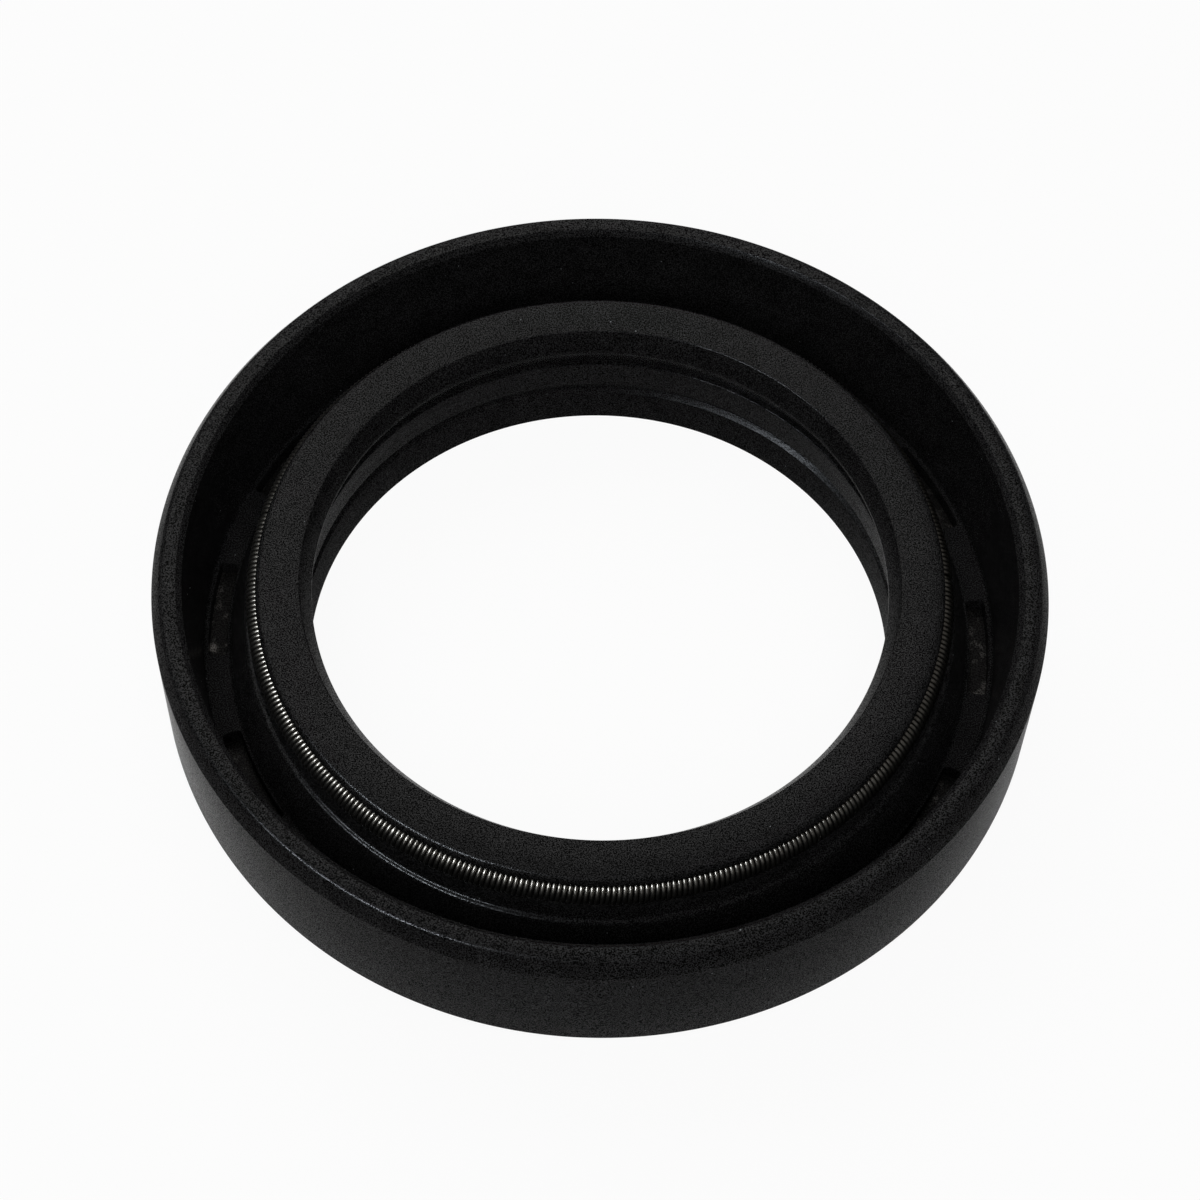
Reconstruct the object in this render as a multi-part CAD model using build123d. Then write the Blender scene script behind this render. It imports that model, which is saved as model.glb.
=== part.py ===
"""Radial shaft seal: a rubber-covered steel case, a spring-loaded sealing lip and a dust lip.

Origin at the centre of the back face, which is the air side; +Z runs along the shaft towards the
spring side. The seal is laid out from the shaft outwards and from the back face upwards, so its
outer diameter and its width are sums of the sizes below. A section corner is (radius, height), in mm.
Small rounds are made as flats or left sharp, which keeps the rings light.
"""
import os
from math import cos, radians, sin, tan

from build123d import *

# --- sealing lip ------------------------------------------------------------------------------------
shaft_diameter = 35.0
lip_interference = 1.26          # how much smaller than the shaft the free lip is, on diameter
contact_land = 0.20              # width of the edge that runs on the shaft
oil_cone_run = 0.63              # cone above the edge: how far it opens, on radius, and its height
oil_cone_height = 1.20
air_cone_run = 0.58              # trimmed cone below the edge
air_cone_height = 1.28

# --- lip head, with the groove for the garter spring on its outside ---------------------------------
head_face_width = 2.56
head_edge_flat = 0.26            # breaks the head's outer top edge
spring_coil_diameter = 1.60
spring_set_in = 0.44             # coil centre, in from the head's outer edge
groove_clearance = 0.04
groove_roof = 0.77               # rubber above the groove
flats_per_quarter = 2            # flats in a quarter turn of the coil's section and of its groove

# --- neck, from the lip head down to the cavity floor -----------------------------------------------
waist_set_in = 0.71              # waist, in from the head's outer edge
waist_drop = 0.56                # waist below the groove
waist_flat = 0.30                # eases the waist, where the lip flexes
shoulder_drop = 0.90             # shoulder below the waist
shoulder_rise = 2.25             # shoulder above the cavity floor
neck_slope = 60.0                # slope of the neck's foot, in degrees from the floor

# --- dust lip and the hollow outside it -------------------------------------------------------------
dust_lip_interference = 0.06     # how much smaller than the shaft the free dust lip is, on diameter
dust_lip_length = 3.05
dust_lip_run = 0.33              # how much the dust lip closes towards its tip, on radius
dust_tip_width = 0.28
dust_root_width = 0.80
hollow_depth = 2.20
hollow_width = 1.55
hollow_flare = 1.35

# --- cavity and outer wall --------------------------------------------------------------------------
foot_width = 4.25                # from the dust lip's root out to the neck's foot
floor_width = 1.51
wall_draft = 0.62                # how far the cavity's wall leans out, on radius
bevel_width = 0.37
bevel_height = 0.22
rim_width = 0.89
rim_rise = 1.14                  # rim above the lip head
rim_edge_flat = 0.14             # breaks the rim's outer edge
top_chamfer_width = 0.56
top_chamfer_height = 0.92
heel_chamfer_width = 0.82
heel_chamfer_height = 1.42

# --- pressed steel case -----------------------------------------------------------------------------
sheet_thickness = 0.80
case_cover_outside = 0.75        # rubber round the case's wall
case_cover_top = 1.50            # rubber above the case's wall
case_cover_below = 0.90          # rubber under its flange
case_cover_inside = 1.00         # rubber on its flange, so the depth of the pockets
case_cover_slope = 0.45          # rubber on its turned-up inner edge
upturn_height = 1.40             # the turned-up edge, above the middle of the flange

# --- pockets left by the pins that hold the case in the mould ---------------------------------------
pocket_count = 12
pocket_angle = 16.3              # length of a pocket along the ring, in degrees
pocket_first = -1.35             # middle of the first pocket, in degrees from +X
pocket_foot_margin = 0.10        # floor left between a pocket and the neck's foot
pocket_wall_margin = 0.20        # floor left between a pocket and the outer wall

# --- radii ------------------------------------------------------------------------------------------
lip_radius = (shaft_diameter - lip_interference) / 2
air_cone_radius = lip_radius + air_cone_run
head_inner_radius = lip_radius + oil_cone_run
head_outer_radius = head_inner_radius + head_face_width
spring_radius = head_outer_radius - spring_set_in
waist_radius = head_outer_radius - waist_set_in
dust_tip_radius = (shaft_diameter - dust_lip_interference) / 2
dust_root_radius = dust_tip_radius + dust_lip_run
hollow_inner_radius = dust_root_radius + dust_root_width
hollow_outer_radius = hollow_inner_radius + hollow_width
foot_radius = dust_root_radius + foot_width
floor_radius = foot_radius + floor_width
mouth_radius = floor_radius + wall_draft
rim_inner_radius = mouth_radius + bevel_width
rim_outer_radius = rim_inner_radius + rim_width
outer_radius = rim_outer_radius + top_chamfer_width
coil_radius = spring_coil_diameter / 2
groove_radius = coil_radius + groove_clearance

# --- heights ----------------------------------------------------------------------------------------
flange_middle = case_cover_below + sheet_thickness / 2
flange_top = case_cover_below + sheet_thickness
floor_height = flange_top + case_cover_inside
shoulder_height = floor_height + shoulder_rise
waist_height = shoulder_height + shoulder_drop
spring_height = waist_height + waist_drop + groove_radius
head_height = spring_height + groove_radius + groove_roof
lip_height = head_height - oil_cone_height
air_cone_top = lip_height - contact_land
rim_height = head_height + rim_rise


def slope_radius(height, depth=0):
    """Radius, at a height, of the line that runs parallel to the neck's foot, a depth inside it."""
    angle = radians(neck_slope)
    return foot_radius - (height - floor_height) / tan(angle) - depth / sin(angle)


def outline(corners):
    """Closed face through corners of (radius, height, flat), where a flat breaks its corner."""
    face = make_face(Polyline(*[(radius, height) for radius, height, _ in corners], close=True))
    for radius, height, flat in corners:
        if flat:
            corner = face.vertices().sort_by_distance((radius, height))[0]
            face = chamfer(corner, flat)
    return face


def ring(section):
    """Turn a section about the shaft's axis."""
    return revolve(Plane.XZ * section, axis=Axis.Z)


def groove_corners():
    """Corners of the groove, clockwise from its lower edge to its roof; its flats touch the groove's circle."""
    side_angle = 90 / flats_per_quarter
    reach = groove_radius / cos(radians(side_angle / 2))
    angles = [radians(side_angle / 2 - 90 - side_angle * step) for step in range(2 * flats_per_quarter + 1)]
    return [(spring_radius + reach * cos(angle), spring_height + reach * sin(angle), 0) for angle in angles]


def rubber_section():
    """Section of the moulding, anticlockwise from the heel."""
    return outline([
        (outer_radius - heel_chamfer_width, 0, 0),
        (outer_radius, heel_chamfer_height, 0),
        (outer_radius, rim_height - top_chamfer_height, 0),
        (rim_outer_radius, rim_height, rim_edge_flat),
        (rim_inner_radius, rim_height, 0),
        (mouth_radius, rim_height - bevel_height, 0),
        (floor_radius, floor_height, 0),
        (foot_radius, floor_height, 0),
        (slope_radius(shoulder_height), shoulder_height, 0),
        (waist_radius, waist_height, waist_flat),
        *groove_corners(),
        (head_outer_radius, spring_height + groove_radius, 0),
        (head_outer_radius, head_height, head_edge_flat),
        (head_inner_radius, head_height, 0),
        (lip_radius, lip_height, 0),
        (lip_radius, air_cone_top, 0),
        (air_cone_radius, air_cone_top - air_cone_height, 0),
        (dust_root_radius, dust_lip_length, 0),
        (dust_tip_radius, 0, 0),
        (dust_tip_radius + dust_tip_width, 0, 0),
        (hollow_inner_radius, hollow_depth, 0),
        (hollow_outer_radius, hollow_depth, 0),
        (hollow_outer_radius + hollow_flare, 0, 0),
    ])


def steel_section():
    """Sheet of even thickness: the wall, the flange, and an edge turned up under the neck's foot."""
    wall_middle = outer_radius - case_cover_outside - sheet_thickness / 2
    edge_depth = case_cover_slope + sheet_thickness / 2
    edge_height = flange_middle + upturn_height
    middle = Polyline(
        (wall_middle, rim_height - case_cover_top),
        (wall_middle, flange_middle),
        (slope_radius(flange_middle, edge_depth), flange_middle),
        (slope_radius(edge_height, edge_depth), edge_height),
    )
    return trace(middle, sheet_thickness)


def pocket():
    """What one mould pin keeps free of rubber: a curved slot from the cavity down to the steel flange."""
    inner = foot_radius + pocket_foot_margin
    outer = floor_radius - pocket_wall_margin
    height = shoulder_height - flange_top
    middle = Pos((inner + outer) / 2, flange_top + height / 2)
    slot = revolve(Plane.XZ * middle * Rectangle(outer - inner, height), Axis.Z, pocket_angle)
    return Rot(0, 0, -pocket_angle / 2) * slot


def make_rubber_body(steel_case):
    """One moulding round the steel, which shows only at the bottom of the pockets."""
    pockets = PolarLocations(0, pocket_count, pocket_first) * pocket()
    return ring(rubber_section()) - pockets - steel_case


def make_garter_spring():
    """Envelope of the close-wound coil that presses the lip on the shaft."""
    first_corner = 45 / flats_per_quarter - 90
    coil = RegularPolygon(coil_radius, 4 * flats_per_quarter, major_radius=False, rotation=first_corner)
    return ring(Pos(spring_radius, spring_height) * coil)


steel_case = ring(steel_section())
parts = {
    "rubber_body": make_rubber_body(steel_case),
    "steel_case": steel_case,
    "garter_spring": make_garter_spring(),
}
os.makedirs("parts", exist_ok=True)
for name, solid in parts.items():
    export_step(solid, f"parts/{name}.step")
print("outer diameter", round(2 * outer_radius, 3), "width", round(rim_height, 3))
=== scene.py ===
# %% [markdown]
# # Dressing a radial shaft seal
#
# A radial shaft seal keeps oil in a housing where a shaft comes out of it. A rubber moulding covers a
# pressed steel ring, its thin lip runs on the shaft, and a garter spring, a close-wound coil joined into
# a ring, holds the lip down. This lesson gives the three CAD solids their real surfaces: true rounds and
# mould marks on the rubber, bends in the steel, and the spring's own turns.
#
# The CAD model comes first and fixes the frame. Everything here is in its place and in metres, so nothing
# has to be fitted. Sizes are written in millimetres, as they are on a drawing of a seal.

import math

import bpy
import numpy as np
from mathutils import Matrix, Vector


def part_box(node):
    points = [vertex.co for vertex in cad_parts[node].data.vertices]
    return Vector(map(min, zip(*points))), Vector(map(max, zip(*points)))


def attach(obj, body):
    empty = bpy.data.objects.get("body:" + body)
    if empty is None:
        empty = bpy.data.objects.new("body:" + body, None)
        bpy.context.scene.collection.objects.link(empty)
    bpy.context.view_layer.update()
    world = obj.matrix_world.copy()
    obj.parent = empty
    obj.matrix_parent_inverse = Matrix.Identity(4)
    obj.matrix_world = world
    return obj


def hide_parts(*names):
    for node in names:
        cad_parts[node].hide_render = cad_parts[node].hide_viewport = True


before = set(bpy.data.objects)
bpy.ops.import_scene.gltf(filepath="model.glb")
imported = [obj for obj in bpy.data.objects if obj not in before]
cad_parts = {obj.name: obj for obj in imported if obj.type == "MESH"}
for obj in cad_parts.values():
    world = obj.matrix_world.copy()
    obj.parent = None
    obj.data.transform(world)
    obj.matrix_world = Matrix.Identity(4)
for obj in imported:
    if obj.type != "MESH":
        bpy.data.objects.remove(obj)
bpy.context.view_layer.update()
MM = 0.001
SAME_POINT = 1e-6       # places nearer than this, in millimetres, count as one
outer_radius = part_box("rubber_body")[1].x / MM
seal_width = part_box("rubber_body")[1].z / MM
print("outer diameter", round(2 * outer_radius, 2), "mm, width", round(seal_width, 2), "mm")

# %% [markdown]
# ## Surfaces from grids
#
# Each piece is a surface of two parameters. A ring is an outline carried round the axis, and a wire is a
# circle carried along a coil. Both close on themselves in both directions, so one function can turn any
# such grid into a mesh. It works on whole arrays: the corner numbers of all the faces come from shifting
# the grid of vertex numbers by one row and by one column.

# %% A closed grid becomes a mesh
def closed_mesh(name, points, sharp_degrees=40):
    """Mesh of a grid that closes in both directions.

    points[i, j] is a place in millimetres. Face (i, j) joins the points (i, j), (i+1, j), (i+1, j+1) and
    (i, j+1), where the last row and column are followed by the first. It faces along di x dj.
    """
    rows, columns = points.shape[:2]
    number = np.arange(rows * columns).reshape(rows, columns)
    below, right = np.roll(number, -1, 0), np.roll(number, -1, 1)
    faces = np.stack([number, below, np.roll(below, -1, 1), right], axis=-1).reshape(-1, 4)
    mesh = bpy.data.meshes.new(name)
    mesh.vertices.add(number.size)
    mesh.vertices.foreach_set("co", (points * MM).astype(np.float32).ravel())
    mesh.loops.add(faces.size)
    mesh.loops.foreach_set("vertex_index", faces.astype(np.int32).ravel())
    mesh.polygons.add(len(faces))
    mesh.polygons.foreach_set("loop_start", np.arange(0, faces.size, 4, dtype=np.int32))
    mesh.polygons.foreach_set("use_smooth", np.ones(len(faces), dtype=bool))
    mesh.update(calc_edges=True)
    mesh.validate()
    mesh.set_sharp_from_angle(angle=math.radians(sharp_degrees))
    piece = bpy.data.objects.new(name, mesh)
    bpy.context.scene.collection.objects.link(piece)
    print(name, "has", 2 * len(faces), "triangles")
    return piece

# %% [markdown]
# ## Outlines with true rounds
#
# A drawing gives a section as corners and the radius of the round at each. The solids of the CAD model
# leave the small rounds out. Here every corner gets one, because a round is what catches the light: an
# edge with no round at all is what makes a model look like a model.

# %% Round the corners of an outline
def unit(vectors):
    """The same directions with length one."""
    return vectors / np.linalg.norm(vectors, axis=-1, keepdims=True)


def rounded_outline(corners, step_degrees=16):
    """Closed outline through corners of (radius, height, round), as an array of (radius, height).

    With half the angle between a corner's two sides called h, the arc starts round / tan(h) along each
    side, and its centre lies on the bisector, round / sin(h) from the corner. Points on the arc turn
    from the one side to the other in equal steps of about step_degrees. Two arcs may share an end, and
    the outline then has that place only once.
    """
    places = np.array([corner[:2] for corner in corners], float)
    ones_before, ones_after = np.roll(places, 1, 0), np.roll(places, -1, 0)
    arcs = []
    for place, before, after, (_, _, radius) in zip(places, ones_before, ones_after, corners):
        back, on = unit(before - place), unit(after - place)
        half = math.acos(np.clip(back @ on, -1, 1)) / 2
        centre = place + unit(back + on) * radius / math.sin(half)
        first = place + back * radius / math.tan(half) - centre
        last = place + on * radius / math.tan(half) - centre
        turn = math.pi - 2 * half
        t = np.linspace(0, 1, max(2, math.ceil(math.degrees(turn) / step_degrees)) + 1)[:, None]
        arcs.append(centre + (np.sin((1 - t) * turn) * first + np.sin(t * turn) * last) / math.sin(turn))
    outline = np.concatenate(arcs)
    gaps = np.linalg.norm(outline - np.roll(outline, 1, 0), axis=1)
    return outline[gaps > SAME_POINT]


def carried_round(outline, angles):
    """Grid of an outline turned about the axis: x = r cos(a), y = r sin(a), z = height."""
    radius, height = outline[..., 0], outline[..., 1]
    a = angles[:, None]
    return np.stack([radius * np.cos(a), radius * np.sin(a), height + 0 * a], axis=-1)

# %% [markdown]
# ## The rubber moulding
#
# The moulding is one piece of rubber. Going round its section against the clock, it has the outer wall
# that seals in the housing, the rim, the cavity that the spring side opens into, the neck that lets the
# lip move, the groove that the spring snaps into, the lip itself, and at the air side a thin dust lip.
#
# A mould for such a ring is made of several rings itself. Two of them meet at the neck's shoulder, and
# leave a small step there. The sealing edge is left sharp, because it is trimmed after moulding.

# %% The section of the rubber
ring_radius, ring_height, groove_round = 19.90, 7.45, 0.85     # middle of the spring, and its groove
contact_radius = 16.87      # the free lip, a little smaller than the 35 mm shaft
floor_level, foot_radius = 2.70, 22.05      # the cavity's floor, and the neck's foot on it
rubber_corners = [          # radius, height, round
    (outer_radius - 0.82, 0.0, 0.10),                # heel chamfer, which leads the seal into its housing
    (outer_radius, 1.42, 0.25),
    (outer_radius, seal_width - 0.92, 0.20),
    (outer_radius - 0.56, seal_width, 0.40),         # rim
    (outer_radius - 1.47, seal_width, 0.05),
    (outer_radius - 1.80, seal_width - 0.31, 0.06),  # mouth of the cavity
    (23.56, floor_level, 0.20),                      # cavity floor
    (foot_radius, floor_level, 0.15),
    (20.94, 5.36, 0.27),                             # shoulder of the neck, a ledge where two mould rings met
    (20.60, 5.40, 0.27),
    (20.05, 6.60, 0.10),                             # sill that keeps the spring in
    (ring_radius - groove_round, 6.60, groove_round),    # spring groove
    (ring_radius - groove_round, 8.30, groove_round),
    (20.08, 8.30, 0.14),                             # roof of the groove
    (20.08, 8.86, 0.36),                             # face of the lip's head
    (contact_radius + 0.63, 8.86, 0.12),
    (contact_radius, 7.66, 0.015),                   # the edge that runs on the shaft
    (contact_radius, 7.46, 0.015),
    (17.60, 5.92, 0.03),                             # groove behind the lip
    (17.90, 5.80, 0.05),
    (17.90, 5.48, 0.05),
    (17.50, 5.42, 0.06),
    (17.62, 4.15, 0.05),                             # bore of the neck
    (17.65, 3.16, 0.04),
    (18.10, 2.96, 0.06),                             # notch, so that the dust lip bends easily
    (18.10, 2.40, 0.08),
    (17.70, 2.24, 0.08),
    (17.47, 0.0, 0.04),                              # tip of the dust lip
    (17.75, 0.0, 0.05),
    (18.60, 2.20, 0.50),                             # hollow behind the dust lip
    (20.15, 2.20, 0.50),
    (21.50, 0.0, 0.12),
]
plain_section = rounded_outline(rubber_corners)
print("the rubber's section has", len(plain_section), "points")

# %% [markdown]
# ### Pockets in the cavity floor
#
# While the rubber is moulded, pins hold the steel ring in the middle of the cavity. Where a pin stood,
# the rubber has a pocket that goes down to the steel. There are twelve, and they are a little longer
# than the land between them.
#
# A Boolean could cut them, but it would leave long thin triangles. Instead the grid itself is led down:
# the points of the section that lie on the floor have a second place, on the pocket's walls and bottom,
# and a column of the grid uses the one or the other. A pocket's bottom lies just below the steel's
# surface, so that the steel is what shows there.

# %% The section through a pocket
hidden_level = 1.60         # the pocket's bottom, inside the steel sheet
pocket_outer, pocket_inner, pocket_edge = 23.31, 22.18, 0.04
wall_top, wall_lean = 0.30, 0.01        # the walls' first place is this far down, and this far in


def pocket_path():
    """Places from the floor down the outer wall, along the bottom and up the inner wall of a pocket.

    Each upper edge is a quarter circle of radius pocket_edge. The outer one turns from straight up to
    the left, so it is centre + radius * (cos(b), sin(b)) for b from 90 to 180 degrees.
    """
    b = np.radians(np.linspace(90, 180, 4))
    edge_level = floor_level - pocket_edge
    outer_edge = [pocket_outer + pocket_edge, edge_level] + pocket_edge * np.stack([np.cos(b), np.sin(b)], -1)
    inner_edge = [pocket_inner - pocket_edge, edge_level] + pocket_edge * np.stack([-np.cos(b), np.sin(b)], -1)
    depth = np.linspace(floor_level - wall_top, hidden_level, 3)
    radius = np.linspace(pocket_outer - 2 * wall_lean, pocket_inner + 2 * wall_lean, 6)[1:-1]
    return np.concatenate([outer_edge,
                           np.stack([pocket_outer - wall_lean + 0 * depth, depth], -1),
                           np.stack([radius, hidden_level + 0 * radius], -1),
                           np.stack([pocket_inner + wall_lean + 0 * depth, depth[::-1]], -1),
                           inner_edge[::-1]])


def along_floor(path):
    """As many places as the path has, evenly along the floor between its ends."""
    radius = np.linspace(path[0, 0], path[-1, 0], len(path))
    return np.stack([radius, floor_level + 0 * radius], -1)


def last_before_path(level_play=0.01):
    """Number of the last point of the floor's outer round, which the path follows."""
    radius, height = plain_section.T
    return np.flatnonzero((radius > pocket_outer) & (np.abs(height - floor_level) < level_play))[-1]


def with_path(path):
    """The rubber's section with a path put in between the floor's outer and inner rounds."""
    return np.concatenate([plain_section[:path_start], path, plain_section[path_start:]])


path_start = last_before_path() + 1
pocket_way = pocket_path()
pocket_section, floor_section = with_path(pocket_way), with_path(along_floor(pocket_way))
print("a pocket is", round(pocket_outer - pocket_inner, 2), "mm wide and 1 mm deep, down to the steel")

# %% Columns of the grid, closer together at the pockets' ends
pocket_count, first_pocket, half_pocket = 12, -1.35, 8.15       # angles in degrees
pitch = 360 / pocket_count
corner_round = 0.20                             # round of a pocket's corners, seen from above
pocket_middle = (pocket_outer + pocket_inner) / 2
to_degrees = math.degrees(1 / pocket_middle)    # one millimetre along the middle of a pocket
rise = np.array([0.0, 0.02, 0.06, 0.12, 0.20])  # columns inside each end, in millimetres from it
even_half, even_columns = 7.3, 17               # evenly spaced columns in the middle of a pocket
land_margins, land_columns = (0.10, 0.7), 14    # on the land, the first and the second column from its end

inside = np.concatenate([-half_pocket + rise * to_degrees,
                         np.linspace(-even_half, even_half, even_columns),
                         half_pocket - rise[::-1] * to_degrees])
near, far = land_margins
outside = np.concatenate([[half_pocket + near],
                          np.linspace(half_pocket + far, pitch - half_pocket - far, land_columns),
                          [pitch - half_pocket - near]])
offsets = np.concatenate([inside, outside])
in_pocket = np.concatenate([np.ones(len(inside), bool), np.zeros(len(outside), bool)])
from_end = np.clip((half_pocket - np.abs(offsets)) / to_degrees, 0, corner_round)
narrowing = np.where(in_pocket, corner_round - np.sqrt(corner_round**2 - (corner_round - from_end) ** 2), 0)
angles = np.radians((first_pocket + pitch * np.arange(pocket_count)[:, None] + offsets).ravel())
print(len(angles), "columns,", len(offsets), "for each pocket")

# %% The rubber's grid
def rubber_grid():
    """Grid of the moulding: each column is the floor section or the pocket section.

    Where a pocket narrows towards its rounded corners, its places move towards its middle by the
    narrowing, times how far out they are as a share of its half width.
    """
    grid = np.where(in_pocket[:, None, None], pocket_section, floor_section)
    of_path = slice(path_start, path_start + len(pocket_way))
    share = (grid[:, of_path, 0] - pocket_middle) / (pocket_outer - pocket_middle)
    grid[:, of_path, 0] -= np.clip(share, -1, 1) * narrowing[:, None]
    return carried_round(np.tile(grid, (pocket_count, 1, 1)), angles)


rubber = closed_mesh("rubber_moulding", rubber_grid())
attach(rubber, "root")
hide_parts("rubber_body")

# %% [markdown]
# ## The pressed steel case
#
# The case is one sheet, 0.8 mm thick, drawn into a ring with an outer wall, a flange and an inner edge
# turned up under the neck. A press can't fold a sheet to a sharp corner. The inside of each bend has a
# radius of 0.5 mm and the outside of 1.3 mm, about the same centre, so the sheet stays equally thick.
# It shows only at the bottom of the pockets, where the bend catches a thin line of light.

# %% The steel's section and ring
sheet, inside_bend, flange_bottom = 0.80, 0.50, 0.90
outside_bend, flange_top = inside_bend + sheet, flange_bottom + sheet
case_radius, case_top = 25.25, 8.50
neck_slope, cover = math.radians(60), 0.45      # the rubber over the sheet at the neck's foot
edge_height = 2.70                              # middle of the sheared inner edge
steel_columns = 312


def under_neck(height, depth):
    """Radius at a height of the line that runs parallel to the neck's foot, a depth inside it."""
    return foot_radius - (height - floor_level) / math.tan(neck_slope) - depth / math.sin(neck_slope)


edge_radius = under_neck(edge_height, cover + sheet / 2)
half_sheet = np.array([math.sin(neck_slope), math.cos(neck_slope)]) * sheet / 2
steel_corners = [            # radius, height, round
    (case_radius, flange_bottom, outside_bend),
    (case_radius, case_top, 0.15),
    (case_radius - sheet, case_top, 0.10),
    (case_radius - sheet, flange_top, inside_bend),
    (under_neck(flange_top, cover), flange_top, inside_bend),
    (edge_radius + half_sheet[0], edge_height + half_sheet[1], 0.10),    # sheared inner edge
    (edge_radius - half_sheet[0], edge_height - half_sheet[1], 0.15),
    (under_neck(flange_bottom, cover + sheet), flange_bottom, outside_bend),
]
steel_outline = rounded_outline(steel_corners, step_degrees=10)
all_round = np.linspace(0, 2 * math.pi, steel_columns, endpoint=False)
steel = closed_mesh("pressed_case", carried_round(steel_outline, all_round))
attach(steel, "root")
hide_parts("steel_case")

# %% [markdown]
# ## The garter spring
#
# The spring is a straight extension coil of thin wire, wound so tightly that its turns touch, and bent
# round into a ring. One tapered end is screwed into the other. A torus with a bump map would look flat
# from the side and lose the gaps between the turns, so here the wire is really there: a small circle
# carried along a coil that runs round the ring 420 times.

# %% The wire carried along its coil
wire_radius, coil_radius, turns = 0.14, 0.66, 420
narrow_places = ((2.6, 0.55, 1.0), (169.0, 0.45, 0.6))      # angle and width in degrees, share
narrow_by = 0.10            # how much smaller the coil's radius is there, times the share


def spring_grid(steps_per_turn=20, sides=6):
    """Grid of the wire, rows along it and columns round it.

    At the angle a round the ring, the coil has turned by b = turns * a. The wire's middle lies at
    ring centre + coil_radius * (outward cos(b) + up sin(b)). The wire's circle lies in the plane of that
    direction, n, and of n x t, where t is the direction of the wire. The coil is a little narrower
    where its ends are screwed together and at one place across the ring.
    """
    a = np.linspace(0, 2 * math.pi, turns * steps_per_turn, endpoint=False)
    narrow = sum(share * np.exp(-((np.degrees(a) - place) / width) ** 2) for place, width, share in narrow_places)
    size = coil_radius - narrow_by * narrow
    b = turns * a
    outward = np.stack([np.cos(a), np.sin(a), 0 * a], axis=-1)
    up = np.array([0.0, 0.0, 1.0])
    n = outward * np.cos(b)[:, None] + up * np.sin(b)[:, None]
    middle = outward * ring_radius + up * ring_height + n * size[:, None]
    t = unit(np.roll(middle, -1, 0) - np.roll(middle, 1, 0))
    side = unit(np.cross(n, t))
    w = np.linspace(0, 2 * math.pi, sides, endpoint=False)[None, :, None]
    return middle[:, None] + wire_radius * (np.cos(w) * n[:, None] + np.sin(w) * side[:, None])


spring = closed_mesh("garter_coil", spring_grid(), sharp_degrees=180)
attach(spring, "root")
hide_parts("garter_spring")
coil_pitch = 2 * math.pi * ring_radius / turns
print("pitch at the middle of the coil", round(coil_pitch, 3), "mm for wire of", 2 * wire_radius, "mm")

# %% [markdown]
# ## Finishes as node groups
#
# Rubber and steel share effects: a fine grain, marks from turning, dust. Each is a node group with named
# inputs and outputs, built once. A group only gives heights and masks, and each material decides
# what to do with them. All patterns read Object coordinates, so they stay on the surface from every side.

# %% Helpers for node trees
def put(tree, socket, value):
    """Set an input to a value, or link it where the value is another node's output."""
    if isinstance(value, bpy.types.NodeSocket):
        tree.links.new(value, socket)
    else:
        socket.default_value = value


def feed(tree, node, **inputs):
    """Set or link a node's inputs by name. A space in a name is written as an underscore."""
    for name, value in inputs.items():
        put(tree, node.inputs[name.replace("_", " ")], value)


def add(tree, kind, settings=None, **inputs):
    """Add a node of a kind, set its own settings, then set or link its inputs by name."""
    node = tree.nodes.new(kind)
    for name, value in (settings or {}).items():
        setattr(node, name, value)
    feed(tree, node, **inputs)
    return node


def maths(tree, operation, *values):
    """One step of arithmetic on up to three values or outputs."""
    node = add(tree, "ShaderNodeMath", {"operation": operation})
    for socket, value in zip(node.inputs, values):
        put(tree, socket, value)
    return node.outputs[0]


def new_group(name, inputs, outputs):
    """An empty group. inputs is {name: (kind, default)} and outputs a list of names of plain values."""
    tree = bpy.data.node_groups.new(name, "ShaderNodeTree")
    for socket_name, (kind, default) in inputs.items():
        socket = tree.interface.new_socket(socket_name, in_out="INPUT", socket_type=kind)
        if default is not None:
            socket.default_value = default
    for socket_name in outputs:
        tree.interface.new_socket(socket_name, in_out="OUTPUT", socket_type="NodeSocketFloat")
    return tree, tree.nodes.new("NodeGroupInput").outputs, tree.nodes.new("NodeGroupOutput")


def use_group(tree, group, **inputs):
    """The outputs of a group placed in a material with its own values."""
    node = tree.nodes.new("ShaderNodeGroup")
    node.node_tree = group
    feed(tree, node, **inputs)
    return node.outputs

# %% Steps that several trees share
MOST = (0.3, 0.7)       # where most of a noise's values lie


def noise(tree, place, scale, detail, roughness):
    """A noise about 0.5, with scale as its number of cells in a metre."""
    node = add(tree, "ShaderNodeTexNoise", {"noise_dimensions": "3D"}, Vector=place, Scale=scale,
               Detail=detail, Roughness=roughness)
    return node.outputs["Fac"]


def cells_per_metre(tree, size):
    """Scale of a texture whose cells have a size in millimetres."""
    return maths(tree, "DIVIDE", 1 / MM, size)


def ramp(tree, value, span, results=(0.0, 1.0)):
    """The first result below the span, the second above it, and a straight line between them."""
    node = add(tree, "ShaderNodeMapRange", Value=value, From_Min=span[0], From_Max=span[1],
               To_Min=results[0], To_Max=results[1])
    return node.outputs["Result"]


def blend(tree, share, first, second):
    """A colour between two, where the share goes from 0 for the first to 1 for the second."""
    return add(tree, "ShaderNodeMix", {"data_type": "RGBA"}, Factor=share, A=first, B=second).outputs["Result"]


def times(tree, colour, factor):
    """A colour times a factor."""
    node = add(tree, "ShaderNodeVectorMath", {"operation": "SCALE"}, Scale=factor)
    put(tree, node.inputs[0], colour)
    return node.outputs["Vector"]


def ring_place(tree, place):
    """Distance from the axis, the root of x squared plus y squared, and height of a place."""
    x, y, z = add(tree, "ShaderNodeSeparateXYZ", Vector=place).outputs
    squared = maths(tree, "MULTIPLY_ADD", x, x, maths(tree, "MULTIPLY", y, y))
    return maths(tree, "SQRT", squared), z


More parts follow.
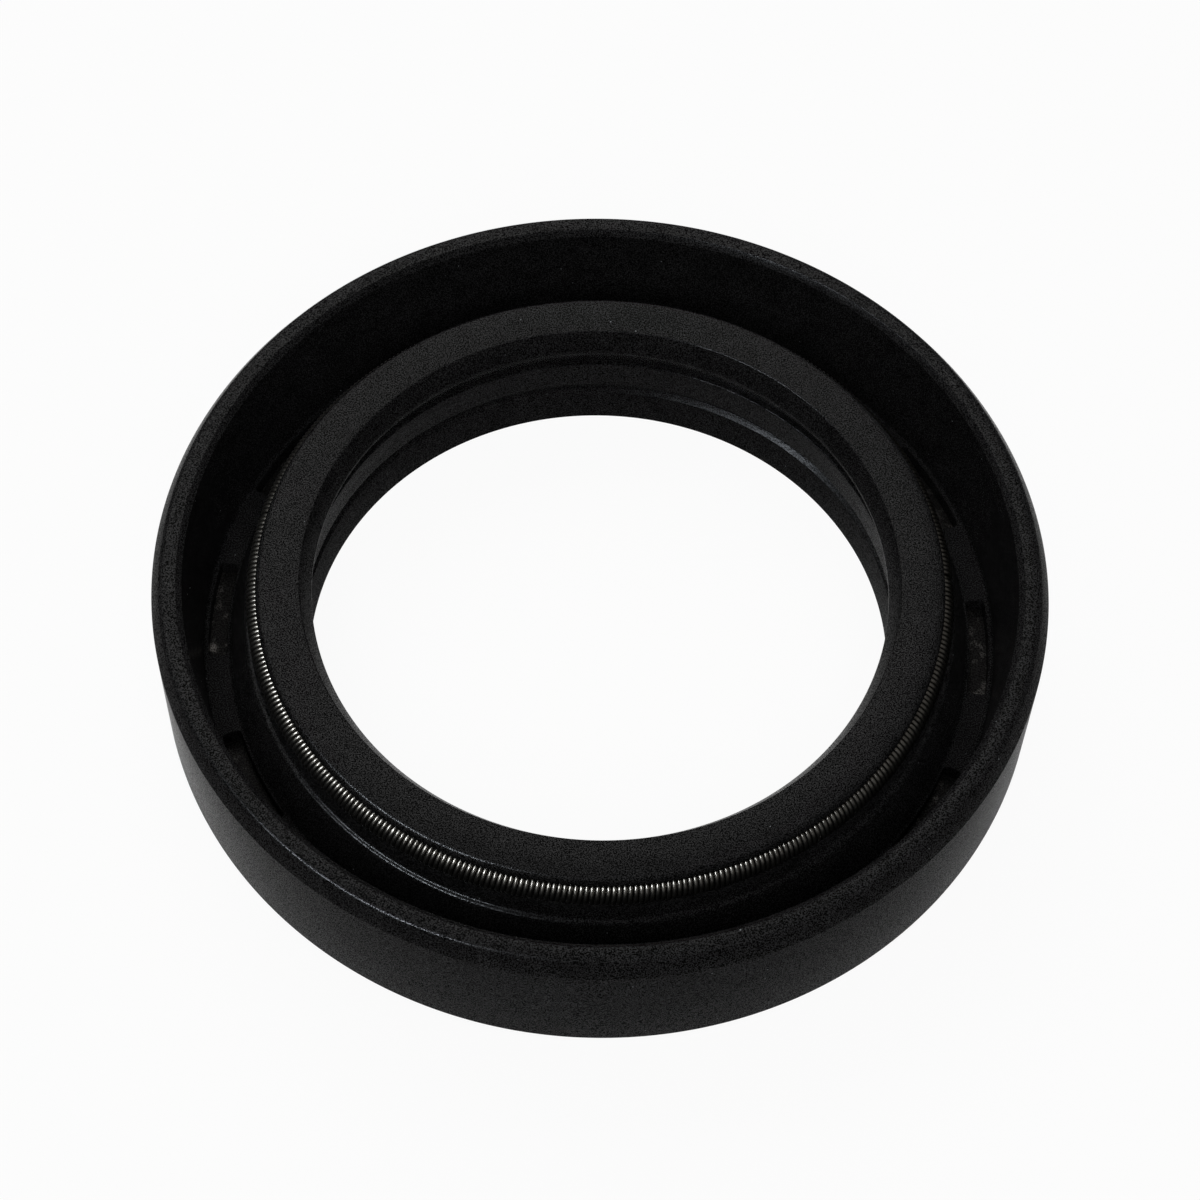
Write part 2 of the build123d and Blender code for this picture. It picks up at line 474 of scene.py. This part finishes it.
def bumped(tree, relief, strength, depth):
    """Normal of a surface with a relief whose depth is given in millimetres."""
    return add(tree, "ShaderNodeBump", Strength=strength, Distance=depth * MM, Height=relief).outputs["Normal"]

# %% Grain of the surface
FLOAT, VECTOR = "NodeSocketFloat", "NodeSocketVector"
mottle_size = 20.0          # a cell of the mottle is this many cells of the grain wide
grain, given, result = new_group("fine_grain", {"Position": (VECTOR, None), "Size": (FLOAT, 0.1)},
                                 ["Height", "Mottle"])
fine_scale = cells_per_metre(grain, given["Size"])
broad_scale = maths(grain, "DIVIDE", fine_scale, mottle_size)
feed(grain, result, Height=noise(grain, given["Position"], fine_scale, detail=1.0, roughness=0.5),
     Mottle=noise(grain, given["Position"], broad_scale, detail=3.0, roughness=0.55))
print("group fine_grain: a noise of the given size in millimetres, and a mottle", mottle_size, "times larger")

# %% Rings that a turned tool leaves
turning, given, result = new_group("turning_marks", {"Position": (VECTOR, None), "Spacing": (FLOAT, 0.1)},
                                   ["Height"])
from_axis, height = ring_place(turning, given["Position"])
section_place = add(turning, "ShaderNodeCombineXYZ", X=from_axis, Y=height).outputs["Vector"]
feed(turning, result, Height=noise(turning, section_place, cells_per_metre(turning, given["Spacing"]),
                                   detail=2.0, roughness=0.5))
print("group turning_marks: a noise of the distance from the axis and the height, so it runs round the ring")

# %% Dust
least_speck, speck_spread = 0.4, 1.2        # specks reach from 0.4 to 1.6 times the given size
dust, given, result = new_group("dust_specks", {"Position": (VECTOR, None), "Spacing": (FLOAT, 1.0),
                                                "Size": (FLOAT, 0.05), "Share": (FLOAT, 0.3)}, ["Mask"])
cells = add(dust, "ShaderNodeTexVoronoi", {"feature": "F1"}, Vector=given["Position"],
            Scale=cells_per_metre(dust, given["Spacing"]), Randomness=1.0)
chance = add(dust, "ShaderNodeSeparateColor", Color=cells.outputs["Color"])
reach = maths(dust, "MULTIPLY", maths(dust, "DIVIDE", given["Size"], given["Spacing"]),
              maths(dust, "MULTIPLY_ADD", chance.outputs["Green"], speck_spread, least_speck))
inside_speck = maths(dust, "LESS_THAN", cells.outputs["Distance"], reach)
kept = maths(dust, "LESS_THAN", chance.outputs["Red"], given["Share"])
feed(dust, result, Mask=maths(dust, "MULTIPLY", inside_speck, kept))
print("group dust_specks: a dot near the middle of some of the cells")

# %% [markdown]
# ## Rubber
#
# Black nitrile rubber isn't black all over. It reflects less than one part in a hundred, evenly over the
# colours, and its skin copies the mould: a fine grain, and faint rings where the mould was turned. The
# grain shows twice. A pale bloom sits on it, which is in the base colour, and only its high places shine,
# which is the coat's weight. The mould ring that forms the cavity's floor is left as turned, so the rubber
# is matt there. Specks of dust always show.

# %% The rubber's material
def new_material(name):
    """A material, its tree, its Principled BSDF and the Object coordinates that its patterns read."""
    material = bpy.data.materials.new(name)
    material.use_nodes = True
    tree = material.node_tree
    return material, tree, tree.nodes["Principled BSDF"], add(tree, "ShaderNodeTexCoord").outputs["Object"]


rubber_black, dust_grey = (0.0070, 0.0070, 0.0072), (0.16, 0.17, 0.18, 1)
matt_radius, matt_height = (22.9, 1.3), (2.4, 0.7)      # middle and reach of the matt floor and its pockets
ring_share = 0.35                                       # how deep the rings are beside the grain

rubber_finish, tree, skin, here = new_material("moulded_nitrile_rubber")
grain_here = use_group(tree, grain, Position=here, Size=0.075)
rings_here = use_group(tree, turning, Position=here, Spacing=0.10)
specks = use_group(tree, dust, Position=here, Spacing=0.8, Size=0.030, Share=0.30)
tone = ramp(tree, grain_here["Mottle"], MOST, (0.80, 1.2))
bloom = ramp(tree, grain_here["Height"], (0.40, 0.66), (0.12, 3.3))
black = times(tree, rubber_black, maths(tree, "MULTIPLY", tone, bloom))
shine = ramp(tree, grain_here["Height"], (0.43, 0.57))
from_axis, height = ring_place(tree, here)
in_cavity = maths(tree, "COMPARE", from_axis, matt_radius[0] * MM, matt_radius[1] * MM)
near_floor = maths(tree, "COMPARE", height, matt_height[0] * MM, matt_height[1] * MM)
elsewhere = maths(tree, "SUBTRACT", 1.0, maths(tree, "MULTIPLY", in_cavity, near_floor))
relief = maths(tree, "MULTIPLY_ADD", rings_here["Height"], ring_share, grain_here["Height"])
feed(tree, skin,
     Base_Color=blend(tree, specks["Mask"], black, dust_grey),
     Roughness=ramp(tree, grain_here["Mottle"], MOST, (0.16, 0.20)),
     Specular_IOR_Level=0.006,
     Coat_Weight=maths(tree, "MULTIPLY", shine, elsewhere),
     Coat_IOR=1.152,
     Coat_Roughness=0.21,
     Normal=bumped(tree, relief, strength=1.0, depth=0.018))
rubber.data.materials.append(rubber_finish)
print("rubber: matt on the cavity's floor, and with a shine on the grain's high places elsewhere")

# %% [markdown]
# ## Steel of the case and wire of the spring
#
# The case is sheet with a dark coat that the rubber bonds to. Metal is bare only in small worn places,
# and there alone the finish is metallic. The wire is drawn, and drawing leaves it slightly warm in colour.
# A film of oil dims it, so its metal is darker than clean steel.

# %% Two steels
coated, worn_bare = (0.0075, 0.0073, 0.0070, 1), (0.040, 0.038, 0.036, 1)
wire_dark, wire_light = (0.068, 0.063, 0.055, 1), (0.125, 0.117, 0.103, 1)

case_finish, tree, metal, here = new_material("coated_case_steel")
grain_here = use_group(tree, grain, Position=here, Size=0.09)
rings_here = use_group(tree, turning, Position=here, Spacing=0.14)
bare = ramp(tree, noise(tree, here, 0.9 / MM, detail=4.0, roughness=0.6), (0.54, 0.68))
speckle = ramp(tree, grain_here["Height"], (0.40, 0.62), (0.3, 2.0))
relief = maths(tree, "ADD", rings_here["Height"], grain_here["Height"])
feed(tree, metal,
     Base_Color=times(tree, blend(tree, bare, coated, worn_bare), speckle),
     Metallic=bare,
     Roughness=ramp(tree, grain_here["Mottle"], MOST, (0.30, 0.45)),
     Specular_IOR_Level=0.024,
     Normal=bumped(tree, relief, strength=0.4, depth=0.010))
steel.data.materials.append(case_finish)

wire_finish, tree, metal, here = new_material("drawn_spring_wire")
grain_here = use_group(tree, grain, Position=here, Size=0.30)
warm = ramp(tree, grain_here["Height"], MOST)
feed(tree, metal, Base_Color=blend(tree, warm, wire_dark, wire_light), Metallic=1.0, Roughness=0.33)
spring.data.materials.append(wire_finish)
print("case: coated steel with bare places, spring: drawn wire")

# %% [markdown]
# ## Floor, surround and lamps
#
# The floor is a pale sheet that takes the seal's shadow. A camera that looks at it sees mostly plain
# white, through Light Path. The world is white to the camera too, dimmer to reflections, and gives the
# seal only a soft light. A wide lamp stands behind, and one in front that has no reflection of its own.
# Weak ones at the back left and above fill in. A strip at the front left shows only in reflections, as
# the lines of light along the rounded edges.

# %% Floor and surround
def white_to_camera(tree, plain, white, by_camera, by_gloss, output_kind):
    """Send a mix of a plain and a white shader to the output of a tree.

    The share of white is by_camera for camera and transmission rays, by_gloss for glossy rays, and 0 for
    all others.
    """
    path = tree.nodes.new("ShaderNodeLightPath").outputs
    straight = maths(tree, "MAXIMUM", path["Is Camera Ray"], path["Is Transmission Ray"])
    mirrored = maths(tree, "MULTIPLY", path["Is Glossy Ray"], by_gloss)
    share = maths(tree, "MAXIMUM", maths(tree, "MULTIPLY", straight, by_camera), mirrored)
    mixed = tree.nodes.new("ShaderNodeMixShader")
    for socket, output in zip(mixed.inputs, (share, plain.outputs[0], white.outputs[0])):
        tree.links.new(output, socket)
    tree.links.new(mixed.outputs[0], tree.nodes.new(output_kind).inputs["Surface"])


WHITE = (1, 1, 1, 1)
floor_half = 1.5            # metres from the middle of the floor to its sides
floor_corners = [(floor_half * x, floor_half * y, 0) for x, y in ((-1, -1), (1, -1), (1, 1), (-1, 1))]
floor_mesh = bpy.data.meshes.new("pale_floor")
floor_mesh.from_pydata(floor_corners, [], [(0, 1, 2, 3)])
floor = bpy.data.objects.new("pale_floor", floor_mesh)
bpy.context.scene.collection.objects.link(floor)
floor_finish = bpy.data.materials.new("pale_floor")
floor_finish.use_nodes = True
tree = floor_finish.node_tree
tree.nodes.clear()
white_to_camera(tree, add(tree, "ShaderNodeBsdfDiffuse", Color=(0.80, 0.80, 0.80, 1)),
                add(tree, "ShaderNodeEmission", Color=WHITE, Strength=1.0),
                by_camera=0.94, by_gloss=0.0, output_kind="ShaderNodeOutputMaterial")
floor.data.materials.append(floor_finish)

world = bpy.data.worlds.new("white_surround")
bpy.context.scene.world = world
world.use_nodes = True
tree = world.node_tree
tree.nodes.clear()
white_to_camera(tree, add(tree, "ShaderNodeBackground", Color=WHITE, Strength=0.03),
                add(tree, "ShaderNodeBackground", Color=WHITE, Strength=1.0),
                by_camera=1.0, by_gloss=0.30, output_kind="ShaderNodeOutputWorld")
print("floor of", 2 * floor_half, "m, white to the camera, in a white surround")

# %% Lamps
SEAL_MIDDLE = Vector((0, 0, 0.005))


def lamp(name, place, width, height, power, colour):
    """A rectangular lamp at a place in metres that faces the seal's middle."""
    data = bpy.data.lights.new(name, "AREA")
    data.shape, data.size, data.size_y = "RECTANGLE", width, height
    data.energy, data.color = power, colour
    obj = bpy.data.objects.new(name, data)
    obj.location = place
    obj.rotation_euler = (SEAL_MIDDLE - Vector(place)).to_track_quat("-Z", "Y").to_euler()
    bpy.context.scene.collection.objects.link(obj)
    print(name, "lamp", power, "W at", tuple(round(v, 2) for v in place))
    return obj


neutral, warm_white, cool_white = (1.0, 1.0, 1.0), (1.0, 0.99, 0.97), (0.85, 0.92, 1.0)
lamp("behind", (-0.10, 0.48, 0.52), 0.50, 0.50, 2.1, warm_white)
front = lamp("front", (0.0, -0.38, 0.45), 0.30, 0.30, 1.3, neutral)
front.visible_glossy = False
lamp("back_left", (-0.33, 0.20, 0.46), 0.20, 0.20, 0.3, neutral)
lamp("above", (0.0, 0.0, 0.60), 0.40, 0.40, 0.35, neutral)
strip = lamp("front_left", (-0.186, -0.097, 0.368), 0.20, 0.08, 4.0, cool_white)
strip.visible_diffuse = False

# %% [markdown]
# ## Camera
#
# The camera stands in front of the seal and looks down at it by 58 degrees through a long lens, and it is
# turned very slightly about its own axis.

# %% Camera
camera_place = (0.0, -0.09410, 0.15660)     # metres
elevation, roll = math.radians(58.03), math.radians(1.73)
sensor, focal_length = 36.0, 90.36          # millimetres
camera_data = bpy.data.cameras.new("camera")
camera_data.sensor_width, camera_data.lens = sensor, focal_length
camera_data.clip_start = 0.01
camera = bpy.data.objects.new("camera", camera_data)
bpy.context.scene.collection.objects.link(camera)
right, up = Vector((1, 0, 0)), Vector((0, math.sin(elevation), math.cos(elevation)))
x_axis = right * math.cos(roll) + up * math.sin(roll)
y_axis = up * math.cos(roll) - right * math.sin(roll)
turned = Matrix((x_axis, y_axis, x_axis.cross(y_axis))).transposed().to_4x4()
camera.matrix_world = Matrix.Translation(camera_place) @ turned
bpy.context.scene.camera = camera
bpy.context.scene.view_settings.view_transform = "Standard"
print("camera", round(math.hypot(*camera_place), 3), "m away, with a lens of", focal_length, "mm")

# %% The end
bpy.context.view_layer.update()
